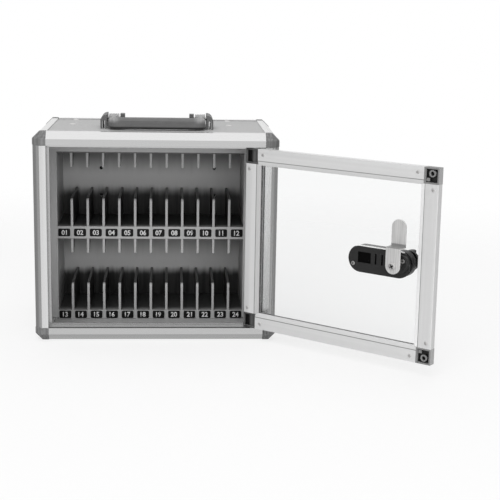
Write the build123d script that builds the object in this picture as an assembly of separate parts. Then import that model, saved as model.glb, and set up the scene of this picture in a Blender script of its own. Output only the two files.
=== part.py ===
from build123d import *
from math import sqrt
import os

# Phone locker box: an aluminium edge frame with plastic corner caps and sheet panels, a rack of
# twelve-by-two phone slots, a clear framed door on two pivot pins with a combination cam lock, and a
# folding carry handle. X runs to the right, Y to the back and Z up. The origin is on the floor, at the
# centre of the box's footprint. The door is modelled shut and then swung open to its resting place.

os.makedirs("parts", exist_ok=True)

# ---------------------------------------------------------------- case
case_width = 320.0
case_depth = 205.0
case_height = 278.0
cap_proud = 0.6            # corner caps stand this far outside the rails

rail_leg = 17.5            # width of each face of an edge rail
rail_chamfer = 9.0
rail_skin = 1.5            # outer lip over a panel
rail_inner_skin = 1.6
front_wall = 1.6           # walls of the hollow front rails
groove_depth = 8.0
panel_thickness = 3.0
groove_clearance = 0.05
panel_edge_clearance = 0.5

stop_depth = 14.5          # from the front plane to the door's stop lip
stop_thickness = 2.5
stop_reach = 3.3           # how far the lip stands into the opening
stop_relief = 10.0         # from the door's pivot to the end of the lips above and below it

prong_side = 8.0
prong_length = 7.0
prong_clearance = 0.1

wall_hole_spacing_x = 165.0
wall_hole_spacing_z = 40.0
wall_hole_radius = 2.5
wall_hole_height = 185.3   # middle of the four holes, above the rails' underside

# ---------------------------------------------------------------- rack
slots_per_row = 12
divider_thickness = 3.5
rack_left_margin = 22.25   # from the case's left side to the first slot
rack_right_margin = 39.65  # from the case's right side to the last slot
rack_setback = 97.5        # from the front plane to the rack's front
rack_sheet = 1.5
rack_wall = 2.0
rack_fit = 0.1             # between the rack and the case's own parts
lower_floor = 17.0         # top of the lower shelf, above the rails' underside
slot_height = 102.5
shelf_height = 17.5        # of the shelf between the two rows
divider_height = 40.0
divider_nose_round = 7.0
tab_height = 20.0
tab_depth = 30.0
tab_tip_depth = 8.0
number_width = 16.6
number_height = 10.8
number_thickness = 0.6
number_corner = 1.6
rivet_side_inset = 21.0    # from the rack's walls
rivet_front_inset = 21.0   # from the rack's front
rivet_rear_inset = 25.5    # from the case's back
rivet_radius = 2.0
rivet_head_radius = 4.0
rivet_head_height = 1.4
rivet_tail = 2.0
rivet_tail_radius = 2.8
rivet_fit = 0.02

# ---------------------------------------------------------------- door
door_side_gap = 1.0
door_end_gap = 1.0
door_thickness = 10.0
door_open_angle = 139.8
pivot_inset = 12.3         # from the door's hinge edge to its pins
pivot_depth = 4.4          # from the door's outer face to its pins
stile_flat = 18.0
stile_width = 24.0
door_rail_flat = 15.5
door_rail_width = 21.5
door_wall = 1.4
bevel_lip = 1.2            # edge left at the foot of each bevel
hinge_edge_round = 2.5
free_edge_round = 0.8
pane_recess = 4.0          # from the door's inner face to the pane
pane_thickness = 3.0
gasket_wall = 0.5
gasket_fit = 0.05
pane_slot_depth = 7.0
pane_edge_clearance = 1.0

corner_side = 20.0
corner_wall = 2.0
corner_pocket = 6.0
corner_fit = 0.1
ring_inset_x = 9.5
ring_inset_z = 7.5
ring_radius = 4.3
ring_bore = 2.6
ring_drop = 1.0            # the ring stops this far below the corner's face
ring_root = 1.0            # the ring reaches this far into the pocket's floor
post_inset = 15.0
post_side = 4.0
barrel_radius = 4.2
tenon_length = 14.0
screw_head_radius = 2.1
screw_head_height = 0.8
screw_shank_radius = 1.2
screw_length = 6.0
screw_fit = 0.05
rail_screw_run = 8.2       # from a corner piece along the rail
rail_screw_inset = 7.2
stile_screw_run = 6.9
stile_screw_inset = 7.0

pin_radius = 1.5
pin_root = 13.0            # length of a pivot pin inside the door
pin_entry = 3.5            # length of a pivot pin inside its bush
pin_fit = 0.02
bush_clearance = 0.05
bush_radius = 2.7
bush_length = 5.0
bush_end_room = 1.0        # left past a bush's blind end
bush_flange_radius = 4.0
bush_flange = 0.7

# ---------------------------------------------------------------- lock
lock_length = 88.0
lock_free_inset = 32.7     # from the door's free edge to the lock
lock_drop = 2.4            # of the lock's outline below the spindle and the wheels
lock_plate_height = 34.0
lock_plate_thickness = 4.5
lock_plate_round = 1.5
lock_body_height = 33.0
lock_body_depth = 12.5
lock_body_round = 2.5
lock_lap = 4.5             # of the plate over the pane, around the lock's cut-out
spigot_clearance = 0.3
boss_radius = 11.5
boss_height = 5.0
spindle_inset = 12.5       # from the lock's end to the spindle
spindle_radius = 3.6
spindle_clearance = 0.08
knob_radius = 13.0
knob_flange = 4.0
knob_bar = 8.0
knob_depth = 11.0
knob_gap = 0.3
cam_width = 19.5
cam_thickness = 2.0
cam_plane = 20.0           # from the door's inner face to the lower leg
cam_tip_plane = 7.6        # from the door's inner face to the upper leg
cam_step = 23.0            # from the spindle to the step
cam_reach = 55.5
cam_screw_radius = 4.6
cam_screw_height = 2.4
wheel_count = 3
wheel_radius = 7.4
wheel_width = 6.4
wheel_pitch = 9.0
wheel_first = 30.8         # from the lock's far end to the first wheel
wheel_depth = 6.0          # from the pane's outer face to the wheels' axle
wheel_clearance = 0.3
wheel_edge = 0.6
axle_radius = 1.5
axle_overhang = 3.0
axle_clearance = 0.06
plate_screw_inset = 7.7    # from the lock's far end
plate_screw_drop = 9.1
boss_screw_offset = 5.0    # from the spindle, away from the lock's far end
boss_screw_rise = 4.0
plate_screw_radius = 2.6
plate_screw_length = 4.4   # it ends inside the plate
plate_screw_height = 0.8
code_window_near = 2.0     # from the first wheel's middle to the window's edges
code_window_far = 17.0
code_window_height = 13.5
code_window_depth = 2.0
code_slit_width = 2.4

# ---------------------------------------------------------------- handle
handle_span = 151.2
cheek_width = 8.8
cheek_height = 18.5
cheek_round = 8.0
cheek_slit = 2.6
cheek_slit_height = 11.0
cheek_outer_wall = 3.1
bracket_front = 24.0       # ahead of the handle's pivot
bracket_rear = 20.0
bracket_base = 3.0
bracket_reach = 32.0       # width of a bracket
lug_width = 6.0
lug_half_depth = 7.0
handle_pivot_y = -14.0
handle_pivot_rise = 12.5   # above the top panel
hub_radius = 6.0
hub_width = 13.6
neck_width = 9.0
neck_length = 11.0
bail_width = 129.0
grip_reach = 36.0          # from the pivot to the grip's middle
grip_depth = 15.0
grip_height = 13.5
grip_drop = 3.0            # of the grip's middle below the pivot
grip_round = 4.0
grip_end_round = 13.0      # of the grip's two front corners, seen from above
arm_width = 8.4
arm_height = 8.0
arm_round = 1.5
handle_pin_radius = 2.0
handle_pin_clearance = 0.06
bracket_screw_radius = 2.8
bracket_screw_height = 1.2
bracket_screw_shank = 1.6
bracket_screw_front = 16.0
bracket_screw_rear = 14.0

# ---------------------------------------------------------------- places worked out from these
side = case_width / 2
front = -case_depth / 2
back = case_depth / 2
bottom = cap_proud
top = cap_proud + case_height

panel_outer = rail_skin + groove_clearance
panel_inner = panel_outer + panel_thickness
groove_end = panel_inner + groove_clearance
rail_depth = groove_end + rail_inner_skin
panel_edge = rail_leg - groove_depth + panel_edge_clearance
panel_notch = rail_leg + panel_edge_clearance - panel_edge

stop_front = front + stop_depth
stop_back = stop_front + stop_thickness
reveal_side = side - rail_leg
reveal_bottom = bottom + rail_leg
reveal_top = top - rail_leg

door_side = reveal_side - door_side_gap
door_bottom = reveal_bottom + door_end_gap
door_top = reveal_top - door_end_gap
door_middle = (door_bottom + door_top) / 2
door_half = (door_top - door_bottom) / 2
door_inner = front + door_thickness
pivot_x = door_side - pivot_inset
pivot_y = front + pivot_depth

pane_inner = door_inner - pane_recess
pane_outer = pane_inner - pane_thickness
slot_inner = pane_inner + gasket_wall + gasket_fit
slot_outer = pane_outer - gasket_wall - gasket_fit

rack_front = front + rack_setback
rack_back = back - rail_depth - rack_fit
rack_left = -side + rack_left_margin
rack_right = side - rack_right_margin
slot_pitch = (rack_right - rack_left + divider_thickness) / slots_per_row
rack_bottom = bottom + rail_depth + rack_fit
rack_top = top - rail_depth - rack_fit
lower_floor_z = bottom + lower_floor
lower_ceiling_z = lower_floor_z + slot_height
upper_floor_z = lower_ceiling_z + shelf_height
upper_ceiling_z = upper_floor_z + slot_height

lock_left = -door_side + lock_free_inset
lock_x = lock_left + lock_length / 2
lock_right = lock_left + lock_length
lock_face = pane_outer - lock_body_depth
spindle_x = lock_left + spindle_inset
axle_y = pane_outer - wheel_depth

handle_z = top - panel_outer + handle_pivot_rise
bracket_outer = handle_span / 2
bracket_inner = bracket_outer - bracket_reach
cheek_inner = bracket_outer - cheek_width
hub_middle = (cheek_inner + bracket_inner + lug_width) / 2


# ---------------------------------------------------------------- helpers
def block(x_low, x_high, y_low, y_high, z_low, z_high):
    """A box between two corners."""
    corner = Pos(x_low, y_low, z_low)
    return corner * Box(x_high - x_low, y_high - y_low, z_high - z_low, align=(Align.MIN,) * 3)


def rod(x, y, z_low, z_high, radius):
    """An upright cylinder."""
    return Pos(x, y, z_low) * Cylinder(radius, z_high - z_low, align=(Align.CENTER, Align.CENTER, Align.MIN))


def rod_y(x, z, y_low, y_high, radius):
    """A cylinder along Y."""
    return Pos(x, y_low, z) * Rot(-90, 0, 0) * rod(0, 0, 0, y_high - y_low, radius)


def rod_x(y, z, x_low, x_high, radius):
    """A cylinder along X."""
    return Pos(x_low, y, z) * Rot(0, 90, 0) * rod(0, 0, 0, x_high - x_low, radius)


def upright_slab(outline, y_low, y_high):
    """An outline in X and Z, made solid between two depths."""
    plane = Plane(origin=(0, y_high, 0), x_dir=(1, 0, 0), z_dir=(0, -1, 0))
    return extrude(plane * outline, y_high - y_low)


def across(shape):
    """A shape and its mirror image, left and right."""
    return [shape, mirror(shape, Plane.YZ)]


def flip_in_door(shape):
    """The same shape at the other end of the door's height."""
    return mirror(shape, Plane.XY.offset(door_middle))


def in_corners(half_x, half_y):
    """The four corners of a rectangle about the origin."""
    return [(i * half_x, j * half_y) for i in (-1, 1) for j in (-1, 1)]


def save(name, *shapes):
    """One node: a single solid, or a group of separate ones."""
    solids = [solid for shape in shapes for solid in shape.solids()]
    shape = solids[0] if len(solids) == 1 else Compound(children=solids)
    export_step(shape, f"parts/{name}.step")


# ---------------------------------------------------------------- edge rails
def rail_extrusion(profile, middle, u, v, length):
    """A profile drawn in u and v, which point into the case, run along the third direction."""
    u_direction = Vector(*u)
    plane = Plane(origin=middle, x_dir=u_direction, z_dir=u_direction.cross(Vector(*v)))
    return extrude(plane * profile, length / 2, both=True)


def corner_profile():
    """Section of the depth and rear rails: a chamfered corner with a panel groove in each leg."""
    return make_face(Polyline(
        (rail_chamfer, 0), (rail_leg, 0), (rail_leg, rail_skin),
        (rail_leg - groove_depth, rail_skin), (rail_leg - groove_depth, groove_end),
        (rail_leg, groove_end), (rail_leg, rail_depth), (rail_depth, rail_depth),
        (rail_depth, rail_leg), (groove_end, rail_leg), (groove_end, rail_leg - groove_depth),
        (rail_skin, rail_leg - groove_depth), (rail_skin, rail_leg), (0, rail_leg),
        (0, rail_chamfer), close=True))


def front_profile():
    """Section of the front rails without their stop lip: one groove and a hollow box."""
    box_back = stop_depth + stop_thickness
    outline = make_face(Polyline(
        (rail_chamfer, 0), (rail_leg, 0), (rail_leg, box_back), (rail_depth, box_back),
        (rail_depth, rail_leg), (groove_end, rail_leg), (groove_end, rail_leg - groove_depth),
        (rail_skin, rail_leg - groove_depth), (rail_skin, rail_leg), (0, rail_leg),
        (0, rail_chamfer), close=True))
    slant = rail_chamfer + front_wall * sqrt(2)
    hollow = make_face(Polyline(
        (slant - front_wall, front_wall), (rail_leg - front_wall, front_wall),
        (rail_leg - front_wall, box_back - front_wall), (rail_depth, box_back - front_wall),
        (rail_depth, slant - rail_depth), close=True))
    return outline - hollow


def bush_hole():
    """Room for the two pivot bushes in the top and bottom rails."""
    reach = bush_length + bush_end_room
    return rod(pivot_x, pivot_y, reveal_bottom - reach, reveal_top + reach, bush_radius + pin_fit)


def edge_rails():
    length_x = case_width - 2 * rail_leg
    length_y = case_depth - 2 * rail_leg
    length_z = case_height - 2 * rail_leg
    middle_z = (bottom + top) / 2
    lip_end = pivot_x - stop_relief
    root = front_wall / 2
    for name, z, up, lip_low in (("bottom", bottom, 1, reveal_bottom - root),
                                 ("top", top, -1, reveal_top - stop_reach)):
        beam = rail_extrusion(front_profile(), (0, front, z), (0, 0, up), (0, 1, 0), length_x)
        lip = block(-reveal_side, lip_end, stop_front, stop_back, lip_low, lip_low + stop_reach + root)
        save(f"front_rail_{name}", beam + lip - bush_hole())
        rear = rail_extrusion(corner_profile(), (0, back, z), (0, 0, up), (0, -1, 0), length_x)
        save(f"rear_rail_{name}", rear)
    for name, x, inward, lip_low in (("left", -side, 1, -reveal_side - root),
                                     ("right", side, -1, reveal_side - stop_reach)):
        beam = rail_extrusion(front_profile(), (x, front, middle_z), (inward, 0, 0), (0, 1, 0), length_z)
        lip = block(lip_low, lip_low + stop_reach + root, stop_front, stop_back,
                    reveal_bottom + stop_reach, reveal_top - stop_reach)
        save(f"front_rail_{name}", beam + lip)
        rear = rail_extrusion(corner_profile(), (x, back, middle_z), (inward, 0, 0), (0, -1, 0), length_z)
        save(f"rear_rail_{name}", rear)
        for level, z, up in (("bottom", bottom, 1), ("top", top, -1)):
            beam = rail_extrusion(corner_profile(), (x, 0, z), (inward, 0, 0), (0, 0, up), length_y)
            save(f"side_rail_{level}_{name}", beam)


def corner_cap():
    """The cap at the front, left and bottom corner, with a prong for each of its three rails."""
    chamfer_size = rail_chamfer + cap_proud * (2 - sqrt(2))
    body = block(-cap_proud, rail_leg, -cap_proud, rail_leg, -cap_proud, rail_leg)
    outer_edges = [edge for edge in body.edges()
                   if sum(abs(c + cap_proud) < 0.01 for c in tuple(edge.center())) == 2]
    body = chamfer(outer_edges, chamfer_size)
    near = rail_depth + prong_clearance
    far = near + prong_side
    tip = rail_leg + prong_length
    body += block(rail_leg, tip, near, far, near, far)
    body += block(near, far, rail_leg, tip, near, far)
    body += block(near, far, near, far, rail_leg, tip)
    return Pos(-side, front, bottom) * body


def corner_caps():
    low = across(corner_cap())
    front_caps = low + [mirror(cap, Plane.XY.offset((bottom + top) / 2)) for cap in low]
    save("front_corner_caps", *front_caps)
    save("rear_corner_caps", *[mirror(cap, Plane.XZ) for cap in front_caps])


# ---------------------------------------------------------------- panels
def notched_sheet(length, width, thickness, notch_length, notch_width):
    """A flat sheet about the origin with a square taken out of each corner."""
    outline = Rectangle(length, width)
    for x, y in in_corners((length - notch_length) / 2, (width - notch_width) / 2):
        outline -= Pos(x, y) * Rectangle(notch_length, notch_width)
    return extrude(outline, thickness)


def case_sheet(length, width):
    """A case panel between rails that are length and width apart, outside to outside."""
    return notched_sheet(length - 2 * panel_edge, width - 2 * panel_edge, panel_thickness,
                         panel_notch, panel_notch)


def wall_holes():
    z_middle = bottom + wall_hole_height
    return [rod_y(x, z_middle + z, rack_back - rack_sheet, back, wall_hole_radius)
            for x, z in in_corners(wall_hole_spacing_x / 2, wall_hole_spacing_z / 2)]


def rivet_places():
    return [(x, y) for x in (rack_left + rivet_side_inset, rack_right - rivet_side_inset)
            for y in (rack_front + rivet_front_inset, back - rivet_rear_inset)]


def panels():
    flat = case_sheet(case_width, case_depth)
    roof = Pos(0, 0, top - panel_inner) * flat
    for x, y in rivet_places():
        roof -= rod(x, y, rack_top, top, rivet_radius + rivet_fit)
    save("top_panel", roof - bracket_screw_holes())
    save("bottom_panel", Pos(0, 0, bottom + panel_outer) * flat)
    upright = Pos(0, 0, (bottom + top) / 2) * Rot(0, 90, 0) * case_sheet(case_height, case_depth)
    save("left_panel", Pos(-side + panel_outer, 0, 0) * upright)
    save("right_panel", Pos(side - panel_inner, 0, 0) * upright)
    rear = Rot(90, 0, 0) * case_sheet(case_width, case_height)
    rear = Pos(0, back - panel_outer, (bottom + top) / 2) * rear
    save("back_panel", rear - wall_holes())


# ---------------------------------------------------------------- rack
def prong_room():
    """Space for the sideways prongs of the rear caps, where they pass the rack's walls."""
    near = rail_depth
    far = near + prong_side + 2 * prong_clearance
    reach = side - rail_leg - prong_length - prong_clearance
    low = block(-side, -reach, back - far, back, bottom + near, bottom + far)
    low = across(low)
    return low + [mirror(room, Plane.XY.offset((bottom + top) / 2)) for room in low]


def shelf(z_low, z_high, sheet_below):
    """A folded sheet: the front strip, the floor of a row and, between the rows, a sheet below."""
    folded = block(rack_left, rack_right, rack_front, rack_back - rack_sheet, z_high - rack_sheet, z_high)
    folded += block(rack_left, rack_right, rack_front, rack_front + rack_sheet, z_low, z_high)
    if sheet_below:
        folded += block(rack_left, rack_right, rack_front, rack_back - rack_sheet, z_low, z_low + rack_sheet)
    return folded


def divider_place(index):
    """Middle of the divider that ends the slot of this index."""
    return rack_left - divider_thickness / 2 + (index + 1) * slot_pitch


def divider(index, floor_z):
    """One upright divider, with a rounded nose."""
    x = divider_place(index)
    plate = block(x - divider_thickness / 2, x + divider_thickness / 2, rack_front,
                  rack_back - rack_sheet, floor_z, floor_z + divider_height)
    nose = plate.edges().filter_by(Axis.X).group_by(Axis.Y)[0].sort_by(Axis.Z)[-1]
    return fillet(nose, divider_nose_round)


def guide_tab(index, ceiling_z):
    """One hanging guide that keeps the tops of two phones apart."""
    x = divider_place(index)
    outline = make_face(Polyline(
        (rack_front, ceiling_z), (rack_front + tab_depth, ceiling_z),
        (rack_front + tab_tip_depth, ceiling_z - tab_height),
        (rack_front, ceiling_z - tab_height), close=True))
    plane = Plane(origin=(x, 0, 0), x_dir=(0, 1, 0), z_dir=(1, 0, 0))
    return extrude(plane * outline, divider_thickness / 2, both=True)


def number_plates(strip_z):
    """A row of number plates on a shelf's front strip."""
    plate = upright_slab(RectangleRounded(number_width, number_height, number_corner),
                         rack_front - number_thickness, rack_front)
    half_pitch = slot_pitch / 2
    return [Pos(divider_place(i) - half_pitch, 0, strip_z) * plate for i in range(slots_per_row)]


def rack_flange():
    """The front sheet around the rack, notched at the case's depth rails."""
    low = front + rack_setback
    high = low + rack_sheet
    inset = panel_inner + rack_fit
    leg = rail_leg + rack_fit
    deep = rail_depth + rack_fit
    sheet = block(-side + inset, side - inset, low, high, bottom + leg, top - leg)
    sheet += block(-side + leg, side - leg, low, high, bottom + inset, top - inset)
    sheet += block(-side + deep, side - deep, low, high, bottom + deep, top - deep)
    opening_top = upper_ceiling_z + rack_sheet
    return sheet - block(rack_left - rack_wall, rack_right + rack_wall, low, high, bottom, opening_top)


def rack():
    save("rack_flange", rack_flange())
    strip_bottom = bottom + panel_inner + rack_fit
    sides = []
    for x in (rack_left - rack_wall, rack_right):
        wall = block(x, x + rack_wall, rack_front, rack_back, rack_bottom, upper_ceiling_z + rack_sheet)
        wall += block(x, x + rack_wall, rack_front + rack_sheet, rack_back, rack_bottom, rack_top)
        sides.append(wall - prong_room())
    save("rack_side_walls", *sides)
    rear = block(rack_left, rack_right, rack_back - rack_sheet, rack_back, rack_bottom, rack_top)
    save("rack_back_plate", rear - wall_holes() - prong_room())
    ceiling = block(rack_left, rack_right, rack_front, rack_back - rack_sheet, upper_ceiling_z,
                    upper_ceiling_z + rack_sheet)
    save("rack_ceiling", ceiling)
    roof_z = top - panel_inner
    roof = block(rack_left - rack_wall, rack_right + rack_wall, rack_front + rack_sheet,
                 back - rail_leg - rack_fit, rack_top, roof_z)
    rivets = []
    for x, y in rivet_places():
        roof -= rod(x, y, rack_top, roof_z, rivet_radius + rivet_fit)
        rivet = rod(x, y, rack_top - rivet_tail, top - panel_outer + rivet_head_height, rivet_radius)
        rivet += rod(x, y, rack_top - rivet_tail, rack_top, rivet_tail_radius)
        rivet += rod(x, y, top - panel_outer, top - panel_outer + rivet_head_height, rivet_head_radius)
        rivets.append(rivet)
    save("rack_roof", roof - bracket_screw_holes())
    save("rack_rivets", *rivets)
    save("lower_shelf", shelf(strip_bottom, lower_floor_z, False))
    save("upper_shelf", shelf(lower_ceiling_z, upper_floor_z, True))
    indexes = range(slots_per_row - 1)
    save("lower_dividers", *[divider(i, lower_floor_z) for i in indexes])
    save("upper_dividers", *[divider(i, upper_floor_z) for i in indexes])
    save("lower_guide_tabs", *[guide_tab(i, lower_ceiling_z) for i in indexes])
    save("upper_guide_tabs", *[guide_tab(i, upper_ceiling_z) for i in indexes])
    low_plates = number_plates((strip_bottom + lower_floor_z) / 2)
    save("number_plates", *number_plates((lower_ceiling_z + upper_floor_z) / 2), *low_plates)


# ---------------------------------------------------------------- door, modelled shut
def swing(shape):
    """Move a piece of the shut door to the open door's resting place."""
    return Pos(pivot_x, pivot_y, 0) * Rot(0, 0, door_open_angle) * Pos(-pivot_x, -pivot_y, 0) * shape


def save_in_door(name, *shapes):
    save(name, *[swing(shape) for shape in shapes])


def member_profile(flat, width):
    """Section of a door member: u runs into the opening from its outer edge, v from the outer face."""
    lip_outer = slot_outer - front - bevel_lip
    lip_inner = slot_inner - front + bevel_lip
    outline = make_face(Polyline(
        (0, 0), (flat, 0), (width, lip_outer), (width, slot_outer - front),
        (width - pane_slot_depth, slot_outer - front), (width - pane_slot_depth, slot_inner - front),
        (width, slot_inner - front), (width, lip_inner), (flat, door_thickness),
        (0, door_thickness), close=True))
    hollow_end = width - pane_slot_depth - door_wall
    return outline - Pos((door_wall + hollow_end) / 2, door_thickness / 2) * Rectangle(
        hollow_end - door_wall, door_thickness - 2 * door_wall)


def stile_outline():
    """Front view of the stile on the positive side, mitred to the rails past the corner pieces."""
    start = door_side - corner_side
    foot = door_bottom + corner_side
    half = make_face(Polyline(
        (door_side, door_middle), (door_side, foot), (start, foot),
        (door_side - stile_width, door_bottom + door_rail_width),
        (door_side - stile_width, door_middle), close=True))
    return [half, mirror(half, Plane.XZ.offset(-door_middle))]


def rounded_edge(radius):
    """A slab with a stile's rounded outer edge, to trim what reaches that edge."""
    slab = block(door_side - stile_width, door_side, front, door_inner, door_bottom, door_top)
    edges = slab.edges().filter_by(Axis.Z).group_by(Axis.X)[-1]
    return fillet(edges, radius)


def stile():
    profile = member_profile(stile_flat, stile_width)
    beam = rail_extrusion(profile, (door_side, front, door_middle), (-1, 0, 0), (0, 1, 0), 2 * door_half)
    plan = [upright_slab(outline, front, door_inner) for outline in stile_outline()]
    return beam & (plan[0] + plan[1])


def door_rail():
    """The bottom rail of the door; its ends are mitred to the stiles past the corner pieces."""
    profile = member_profile(door_rail_flat, door_rail_width)
    beam = rail_extrusion(profile, (0, front, door_bottom), (0, 0, 1), (0, 1, 0), 2 * door_side)
    start = door_side - corner_side
    end = door_side - stile_width
    outline = make_face(Polyline(
        (-start, door_bottom), (start, door_bottom), (start, door_bottom + corner_side),
        (end, door_bottom + door_rail_width), (-end, door_bottom + door_rail_width),
        (-start, door_bottom + corner_side), close=True))
    return beam & upright_slab(outline, front, door_inner)


def rail_screw_places():
    """Screws in the rails and stiles at the door's bottom right corner, in X and Z."""
    return [(door_side - corner_side - rail_screw_run, door_bottom + rail_screw_inset),
            (door_side - stile_screw_inset, door_bottom + corner_side + stile_screw_run)]


def drill_screws(shape):
    """Screw holes at the door's bottom right corner."""
    for x, z in rail_screw_places():
        shape -= rod_y(x, z, door_inner - screw_length, door_inner, screw_shank_radius + screw_fit)
    return shape


def corner_piece():
    """The block at the door's bottom right corner, with a tenon into each door member."""
    left = door_side - corner_side
    high = door_bottom + corner_side
    body = block(left, door_side, front, door_inner, door_bottom, high)
    inner = door_wall + corner_fit
    stile_end = stile_width - pane_slot_depth - door_wall - corner_fit
    rail_end = door_rail_width - pane_slot_depth - door_wall - corner_fit
    body += block(door_side - stile_end, door_side - inner, front + inner, door_inner - inner,
                  high, high + tenon_length)
    body += block(left - tenon_length, left, front + inner, door_inner - inner,
                  door_bottom + inner, door_bottom + rail_end)
    return drill_screws(body)


def corner_hollow(depth):
    """The open pocket in a corner piece."""
    return block(door_side - corner_side + corner_wall, door_side - corner_wall, door_inner - depth,
                 door_inner, door_bottom + corner_wall, door_bottom + corner_side - corner_wall)


def lock_corner():
    """A corner piece of the lock side: a pocket with a ring and a post, drawn on the positive side."""
    body = corner_piece() - corner_hollow(corner_pocket)
    ring_x = door_side - ring_inset_x
    ring_z = door_bottom + ring_inset_z
    floor = door_inner - corner_pocket
    root = floor - ring_root
    crest = door_inner - ring_drop
    ring = rod_y(ring_x, ring_z, root, crest, ring_radius)
    post_x = door_side - post_inset
    post_z = door_bottom + post_inset
    half = post_side / 2
    post = block(post_x - half, post_x + half, root, crest, post_z - half, post_z + half)
    return body + ring + post - rod_y(ring_x, ring_z, floor, door_inner, ring_bore)


def hinge_corner():
    """A corner piece of the hinge side: a pocket with the barrel that holds the pivot pin."""
    body = corner_piece() - corner_hollow(door_thickness - corner_wall)
    body += rod(pivot_x, pivot_y, door_bottom, door_bottom + corner_side, barrel_radius)
    inside = block(-side, door_side - stile_width, front, door_inner, bottom, top)
    body &= rounded_edge(hinge_edge_round) + inside
    return body - rod(pivot_x, pivot_y, door_bottom, door_bottom + pin_root, pin_radius + pin_fit)


def gasket_strips():
    """Four channels that hold the pane's edges in the door members."""
    depth = pane_slot_depth - pane_edge_clearance + gasket_wall
    low = slot_outer + gasket_fit
    high = slot_inner - gasket_fit
    end_x = door_side - stile_width
    end_z = door_bottom + door_rail_width
    wide = block(-end_x, end_x, low, high, end_z - depth, end_z)
    wide -= block(-end_x, end_x, pane_outer, pane_inner, end_z - depth + gasket_wall, end_z)
    z_low = door_bottom + door_rail_width
    z_high = door_top - door_rail_width
    tall = block(end_x, end_x + depth, low, high, z_low, z_high)
    tall -= block(end_x, end_x + depth - gasket_wall, pane_outer, pane_inner, z_low, z_high)
    return [wide, flip_in_door(wide)] + across(tall)


def lock_outline(length, height):
    """A stadium in X and Z at the lock's place."""
    straight = length - height
    outline = Rectangle(straight, height) + Pos(-straight / 2, 0) * Circle(height / 2)
    outline += Pos(straight / 2, 0) * Circle(height / 2)
    return Pos(lock_x, door_middle - lock_drop) * outline


def pane():
    length = 2 * (door_side - stile_width + pane_slot_depth - pane_edge_clearance)
    width = 2 * (door_half - door_rail_width + pane_slot_depth - pane_edge_clearance)
    notch = pane_slot_depth - pane_edge_clearance + gasket_wall
    sheet = notched_sheet(length, width, pane_thickness, notch, notch)
    sheet = Pos(0, pane_inner, door_middle) * Rot(90, 0, 0) * sheet
    cut = lock_outline(lock_length - 2 * lock_lap, lock_plate_height - 2 * lock_lap)
    return sheet - upright_slab(cut, pane_outer, pane_inner)


def door_screws():
    screws = []
    for x, z in rail_screw_places():
        screw = rod_y(x, z, door_inner - screw_length, door_inner + screw_head_height, screw_shank_radius)
        screw += rod_y(x, z, door_inner, door_inner + screw_head_height, screw_head_radius)
        screws += across(screw)
    return screws + [flip_in_door(screw) for screw in screws]


def door():
    hinge_stile = drill_screws(stile() & rounded_edge(hinge_edge_round))
    hinge_stile = flip_in_door(drill_screws(flip_in_door(hinge_stile)))
    lock_stile = drill_screws(stile() & rounded_edge(free_edge_round))
    lock_stile = flip_in_door(drill_screws(flip_in_door(lock_stile)))
    low_rail = mirror(drill_screws(mirror(drill_screws(door_rail()), Plane.YZ)), Plane.YZ)
    save_in_door("door_stile_hinge", hinge_stile)
    save_in_door("door_stile_lock", mirror(lock_stile, Plane.YZ))
    save_in_door("door_rail_bottom", low_rail)
    save_in_door("door_rail_top", flip_in_door(low_rail))
    hinge_piece = hinge_corner()
    lock_piece = mirror(lock_corner(), Plane.YZ)
    save_in_door("door_hinge_corners", hinge_piece, flip_in_door(hinge_piece))
    save_in_door("door_lock_corners", lock_piece, flip_in_door(lock_piece))
    save_in_door("door_pane", pane())
    save_in_door("pane_gasket", *gasket_strips())
    save_in_door("door_screws", *door_screws())
    pin = rod(pivot_x, pivot_y, reveal_bottom - pin_entry, door_bottom + pin_root, pin_radius)
    save_in_door("door_pivot_pins", pin, flip_in_door(pin))
    bush = rod(pivot_x, pivot_y, reveal_bottom - bush_length, reveal_bottom + bush_flange, bush_radius)
    bush += rod(pivot_x, pivot_y, reveal_bottom, reveal_bottom + bush_flange, bush_flange_radius)
    bush -= rod(pivot_x, pivot_y, reveal_bottom - bush_length, reveal_bottom + bush_flange,
                pin_radius + bush_clearance)
    save("pivot_bushes", bush, flip_in_door(bush))


# ---------------------------------------------------------------- lock, modelled in the shut door
def wheel_places():
    return [lock_right - wheel_first - i * wheel_pitch for i in range(wheel_count)]


def plate_screw_places():
    """The screw in the plate and the one in its boss: X, Z and the depth of the face under the head."""
    face = pane_inner + lock_plate_thickness
    return [(lock_right - plate_screw_inset, door_middle - plate_screw_drop, face),
            (spindle_x - boss_screw_offset, door_middle + boss_screw_rise, face + boss_height)]


def lock_plate():
    """The plate on the inside of the pane, with the boss around the spindle."""
    high = pane_inner + lock_plate_thickness
    plate = upright_slab(lock_outline(lock_length, lock_plate_height), pane_inner, high)
    plate = fillet(plate.faces().sort_by(Axis.Y)[-1].edges(), lock_plate_round)
    boss = rod_y(spindle_x, door_middle, pane_inner, high + boss_height, boss_radius)
    boss = fillet(boss.faces().sort_by(Axis.Y)[-1].edges(), boss_height / 2)
    plate += boss
    places = wheel_places()
    plate -= block(places[0] - code_window_near, places[0] + code_window_far, high - code_window_depth, high,
                   door_middle - code_window_height / 2, door_middle + code_window_height / 2)
    for x in places[1:]:
        plate -= block(x - code_slit_width / 2, x + code_slit_width / 2, high - code_window_depth, high,
                       door_middle - code_window_height / 2, door_middle + code_window_height / 2)
    for x, z, face in plate_screw_places():
        plate -= rod_y(x, z, face - plate_screw_length, face, screw_shank_radius + screw_fit)
    return plate - rod_y(spindle_x, door_middle, pane_inner, high + boss_height,
                         spindle_radius + spindle_clearance)


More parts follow.
